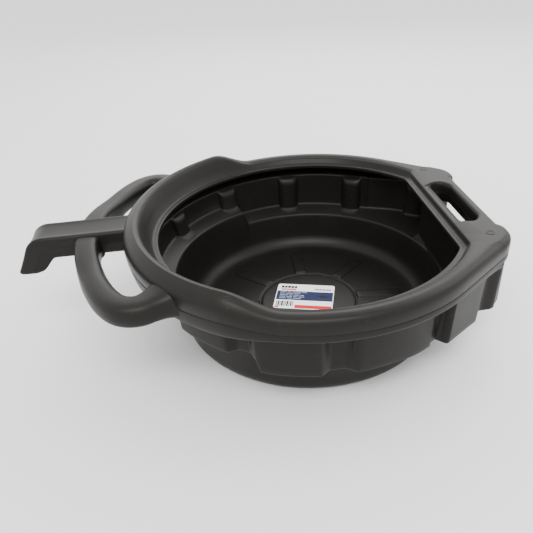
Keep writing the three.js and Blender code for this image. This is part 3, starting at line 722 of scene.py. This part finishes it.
def slab(outlines, low, high):
    """Closed prisms over outlines on the label."""
    verts, faces = [], []
    for outline in outlines:
        start, n = len(verts), len(outline)
        verts += on_label(outline, low) + on_label(outline, high)
        faces.append(tuple(range(start, start + n))[::-1])
        faces.append(tuple(range(start + n, start + 2 * n)))
        faces += [(start + i, start + (i + 1) % n, start + n + (i + 1) % n, start + n + i) for i in range(n)]
    return verts, faces


def rounded(u0, v0, u1, v1, radius=0.0):
    """Outline of a rectangle, with rounded corners if there is a radius."""
    if not radius:
        return [(u0, v0), (u1, v0), (u1, v1), (u0, v1)]
    corners = [(u1 - radius, v0 + radius, -90), (u1 - radius, v1 - radius, 0), (u0 + radius, v1 - radius, 90),
               (u0 + radius, v0 + radius, 180)]
    return [(u + radius * math.cos(math.radians(start + a)), v + radius * math.sin(math.radians(start + a)))
            for u, v, start in corners for a in range(0, 91, 15)]


def bars(u0, v0, widths, height, gap):
    """A run of short bars that stand for a word or a barcode."""
    out = []
    for width in widths:
        out.append(rounded(u0, v0, u0 + width, v0 + height))
        u0 += width + gap
    return out


def pan_picture(u, v):
    """A small drawing of the pan: an ellipse with a handle at each end."""
    turns = np.linspace(0, 2 * math.pi, 28, endpoint=False)
    oval = [(u + 7 * math.cos(a), v + 3.4 * math.sin(a)) for a in turns]
    return [oval, rounded(u - 10.5, v - 0.9, u - 7.2, v + 0.9), rounded(u + 7.2, v - 1.6, u + 9, v + 1.6)]


def print_layer(name, outlines, layers, material):
    """One colour of the print; what is printed over another colour stands two layers high."""
    verts, faces = slab(outlines, PRINT_LOW, FILM_TOP + layers * INK)
    make_piece("label_print_" + name, verts, faces, material, smooth=False)


def label_text():
    """Rows of bars in the place of the words: the lengths of the words of each line."""
    lines = [[9, 6, 12, 8], [7, 11, 9], [12, 5, 8, 6], [8, 9, 6, 9], [10, 7, 12]]
    return [bar for k, words in enumerate(lines) for bar in bars(-37, 9.2 - 3.9 * k, words, 1.5, 1.6)]


def label(colours):
    half_u, half_v = LABEL_SIZE[0] / 2, LABEL_SIZE[1] / 2
    verts, faces = slab([rounded(-half_u, -half_v, half_u, half_v, 4)], FILM_LOW, FILM_TOP)
    make_piece("label_film", verts, faces, colours["paper"], ["label"], smooth=False)
    heading = bars(-37, 20.6, [4.2, 3.6, 4.4, 4.0, 3.8], 5.6, 0.9)
    number = bars(14, 17.5, [2.6] * 7, 3.4, 0.9)
    barcode = bars(-39.5, -25.5, [1.2, 2.2, 0.9, 2.6, 1.2, 1.0, 2.4, 1.0, 2.0, 1.2], 12.5, 1.0)
    corner_block = rounded(-41.2, -29.5, -35, -26)
    blocks = [rounded(-12, -29.5, 41.2, -21.5), corner_block, rounded(-37, 15.4, -14, 18.6)]
    print_layer("navy", [rounded(-41.6, -10, 41.6, 13)], 1, colours["navy"])
    print_layer("red", blocks, 1, colours["red"])
    print_layer("black", heading + number + barcode, 1, colours["black"])
    print_layer("text", label_text(), 2, colours["pale"])
    print_layer("picture", pan_picture(28, 1.5), 2, colours["black"])


# ---- Materials ----
# Scales are repeats per metre; each bundle of scratches has a turn and a threshold.
NOISE_ROUGHNESS = 0.55
SCRATCH_STRETCH = (26, 1500, 1500)  # long in one direction and fine in the others
SCRATCH_BUNDLES = [((0.2, 0.1, 0.6), 0.68), ((0.1, 0.3, 2.1), 0.7)]
PATCH_SCALE = 22
CLOUD_SCALE = 9
SPECK_SCALE = 60
GRAIN_SCALE = 1400
WAVE_SCALE = 28
BUMP_DEPTH = 0.00022  # metres
BLACK_TONES = [(0.0050, 0.0047, 0.0042), (0.0080, 0.0075, 0.0068)]
WORN_COLOUR = (0.10, 0.097, 0.093)
SCUFF_SHARE = 0.28
SPECK_SHARE = 0.3
BLACK_ROUGHNESS = [0.36, 0.43]
SHEEN_LEVEL = 0.16
SHEEN_TINT = (1.0, 0.98, 0.92)
PRINT_ROUGHNESS = [0.41, 0.51]
PRINT_SHEEN_LEVEL = 0.15


def new_material(name):
    material = bpy.data.materials.new(name)
    material.use_nodes = True
    return material, material.node_tree.nodes, material.node_tree.links


def noise(nodes, links, vector, scale, detail=3.0):
    node = nodes.new("ShaderNodeTexNoise")
    node.inputs["Scale"].default_value = scale
    node.inputs["Detail"].default_value = detail
    node.inputs["Roughness"].default_value = NOISE_ROUGHNESS
    links.new(vector, node.inputs["Vector"])
    return node.outputs["Fac"]


def remap(nodes, links, value, low, high, to_low, to_high):
    node = nodes.new("ShaderNodeMapRange")
    for socket, number in zip(("From Min", "From Max", "To Min", "To Max"), (low, high, to_low, to_high)):
        node.inputs[socket].default_value = number
    links.new(value, node.inputs["Value"])
    return node.outputs["Result"]


def combine(nodes, links, operation, a, b):
    node = nodes.new("ShaderNodeMath")
    node.operation = operation
    for socket, value in zip(node.inputs, (a, b)):
        if isinstance(value, (int, float)):
            socket.default_value = value
        else:
            links.new(value, socket)
    return node.outputs[0]


def mix_colours(nodes, links, factor, first, second):
    """A colour between two others; the first one can also be a socket."""
    node = nodes.new("ShaderNodeMix")
    node.data_type = "RGBA"
    if isinstance(first, tuple):
        node.inputs["A"].default_value = (*first, 1)
    else:
        links.new(first, node.inputs["A"])
    node.inputs["B"].default_value = (*second, 1)
    links.new(factor, node.inputs["Factor"])
    return node.outputs["Result"]


def scratches(nodes, links, vector, turn, threshold):
    """Short fine lines in one direction: stretched noise, cut high, in patches."""
    mapping = nodes.new("ShaderNodeMapping")
    mapping.inputs["Rotation"].default_value = turn
    mapping.inputs["Scale"].default_value = SCRATCH_STRETCH
    links.new(vector, mapping.inputs["Vector"])
    stretched = noise(nodes, links, mapping.outputs[0], 1.0, 1.0)
    lines = remap(nodes, links, stretched, threshold, threshold + 0.05, 0, 1)
    patches = remap(nodes, links, noise(nodes, links, vector, PATCH_SCALE, 2.0), 0.5, 0.68, 0, 1)
    return combine(nodes, links, "MULTIPLY", lines, patches)


def specks(nodes, links, vector):
    """Small round spots of dust."""
    cells = nodes.new("ShaderNodeTexVoronoi")
    cells.inputs["Scale"].default_value = SPECK_SCALE
    links.new(vector, cells.inputs["Vector"])
    return remap(nodes, links, cells.outputs["Distance"], 0.02, 0.035, 1, 0)


def grained_normal(nodes, links, vector):
    """Fine grain on slow waves, as they are on a blow-moulded skin."""
    grain = noise(nodes, links, vector, GRAIN_SCALE, 2.0)
    wave = noise(nodes, links, vector, WAVE_SCALE, 2.0)
    height = combine(nodes, links, "ADD", combine(nodes, links, "MULTIPLY", grain, 0.25), wave)
    bump = nodes.new("ShaderNodeBump")
    bump.inputs["Strength"].default_value = 0.35
    bump.inputs["Distance"].default_value = BUMP_DEPTH
    links.new(height, bump.inputs["Height"])
    return bump.outputs["Normal"]


def black_polyethylene():
    """Black moulding with a mottled sheen, fine grain, faint scuffs and pale specks."""
    material, nodes, links = new_material("black_polyethylene")
    shader = nodes["Principled BSDF"]
    vector = nodes.new("ShaderNodeTexCoord").outputs["Object"]
    bundles = [scratches(nodes, links, vector, turn, threshold) for turn, threshold in SCRATCH_BUNDLES]
    marks = combine(nodes, links, "MAXIMUM", *bundles)
    cloud = noise(nodes, links, vector, CLOUD_SCALE, 4.0)
    black = mix_colours(nodes, links, cloud, *BLACK_TONES)
    scuffs = combine(nodes, links, "MULTIPLY", marks, SCUFF_SHARE)
    dust = combine(nodes, links, "MULTIPLY", specks(nodes, links, vector), SPECK_SHARE)
    worn = combine(nodes, links, "MAXIMUM", scuffs, dust)
    links.new(mix_colours(nodes, links, worn, black, WORN_COLOUR), shader.inputs["Base Color"])
    gloss = remap(nodes, links, cloud, 0.35, 0.65, *BLACK_ROUGHNESS)
    dull = combine(nodes, links, "MULTIPLY", marks, 0.12)
    links.new(combine(nodes, links, "ADD", gloss, dull), shader.inputs["Roughness"])
    shader.inputs["IOR"].default_value = 1.5
    shader.inputs["Specular IOR Level"].default_value = SHEEN_LEVEL
    shader.inputs["Specular Tint"].default_value = (*SHEEN_TINT, 1)
    links.new(grained_normal(nodes, links, vector), shader.inputs["Normal"])
    return material


def print_colour(name, colour):
    """Printed film: an even colour with a little ink mottle and a soft sheen."""
    material, nodes, links = new_material(name)
    shader = nodes["Principled BSDF"]
    shader.inputs["Specular IOR Level"].default_value = PRINT_SHEEN_LEVEL
    vector = nodes.new("ShaderNodeTexCoord").outputs["Object"]
    mottle = noise(nodes, links, vector, 300, 3.0)
    darker = tuple(c * 0.9 for c in colour)
    links.new(mix_colours(nodes, links, mottle, colour, darker), shader.inputs["Base Color"])
    sheen = noise(nodes, links, vector, 60)
    links.new(remap(nodes, links, sheen, 0.3, 0.7, *PRINT_ROUGHNESS), shader.inputs["Roughness"])
    return material


# ---- Studio ----
FLOOR_HALF = 40.0  # metres
FLOOR_COLOUR = (0.72, 0.72, 0.72)
SKY_STRENGTH = 2.15
# Name, place, target, width, depth and watts; lengths in metres.
LAMPS = [("back", (0.5, 1.6, 1.4), (0, 0.05, 0.1), 2.2, 1.0, 28),
         ("front", (-0.1, -1.1, 1.7), (0, -0.1, 0.1), 1.4, 0.6, 30),
         ("right", (1.5, 0.3, 1.3), (0, 0, 0.1), 0.9, 0.9, 9)]


def studio_floor():
    mesh = bpy.data.meshes.new("studio_floor")
    corners = [(x * FLOOR_HALF, y * FLOOR_HALF, 0) for x, y in [(-1, -1), (1, -1), (1, 1), (-1, 1)]]
    mesh.from_pydata(corners, [], [(0, 1, 2, 3)])
    floor = new_object("studio_floor", mesh)
    material, nodes, _ = new_material("studio_floor")
    nodes["Principled BSDF"].inputs["Base Color"].default_value = (*FLOOR_COLOUR, 1)
    nodes["Principled BSDF"].inputs["Roughness"].default_value = 0.7
    mesh.materials.append(material)


def studio_sky():
    world = bpy.data.worlds.new("studio")
    world.use_nodes = True
    background = world.node_tree.nodes["Background"]
    background.inputs["Color"].default_value = (1, 1, 1, 1)
    background.inputs["Strength"].default_value = SKY_STRENGTH
    bpy.context.scene.world = world


def area_light(name, place, target, width, depth, watts):
    light = bpy.data.lights.new(name, "AREA")
    light.shape = "RECTANGLE"
    light.size = width
    light.size_y = depth
    light.energy = watts
    lamp = new_object(name, light)
    lamp.location = place
    lamp.visible_camera = False
    lamp.rotation_euler = (Vector(target) - Vector(place)).to_track_quat("-Z", "Y").to_euler()


# ---- Camera ----
# Place and target in millimetres from the basin's axis, roll in degrees, lens in millimetres.
CAMERA_PLACE = (-98.0, -646.7, 479.1)
CAMERA_TARGET = (-59.2, -17.7, 85.6)
CAMERA_ROLL = -3.94
CAMERA_LENS = 36.9


def camera():
    data = bpy.data.cameras.new("camera")
    data.lens = CAMERA_LENS
    data.sensor_width = 36
    data.clip_start = 0.01
    view = new_object("camera", data)
    place = BASIN_AXIS + Vector(CAMERA_PLACE) * MM
    way = BASIN_AXIS + Vector(CAMERA_TARGET) * MM - place
    view.rotation_euler = way.to_track_quat("-Z", "Y").to_matrix().to_euler()
    view.rotation_euler.rotate_axis("Z", math.radians(CAMERA_ROLL))
    view.location = place
    bpy.context.scene.camera = view


# ---- The pan ----
plastic = black_polyethylene()
own_pieces = ("label", "loop_left", "loop_right", "hook_arm", "hook_tip")
shell_nodes = [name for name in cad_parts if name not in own_pieces]
shell_verts, shell_faces = shell_mesh()
make_piece("pan_shell", shell_verts, shell_faces, plastic, shell_nodes)
loop_handle(1, plastic)
loop_handle(-1, plastic)
for mark_side, mark_centre in DECK_MARKS.items():
    deck_mark(mark_side, mark_centre, plastic)
hook(plastic)
label({
    "paper": print_colour("label_white", (0.90, 0.90, 0.89)),
    "navy": print_colour("label_navy", (0.010, 0.016, 0.062)),
    "red": print_colour("label_red", (0.55, 0.012, 0.012)),
    "black": print_colour("label_black", (0.008, 0.008, 0.010)),
    "pale": print_colour("label_pale", (0.30, 0.34, 0.45)),
})
studio_floor()
studio_sky()
for lamp in LAMPS:
    area_light(*lamp)
camera()
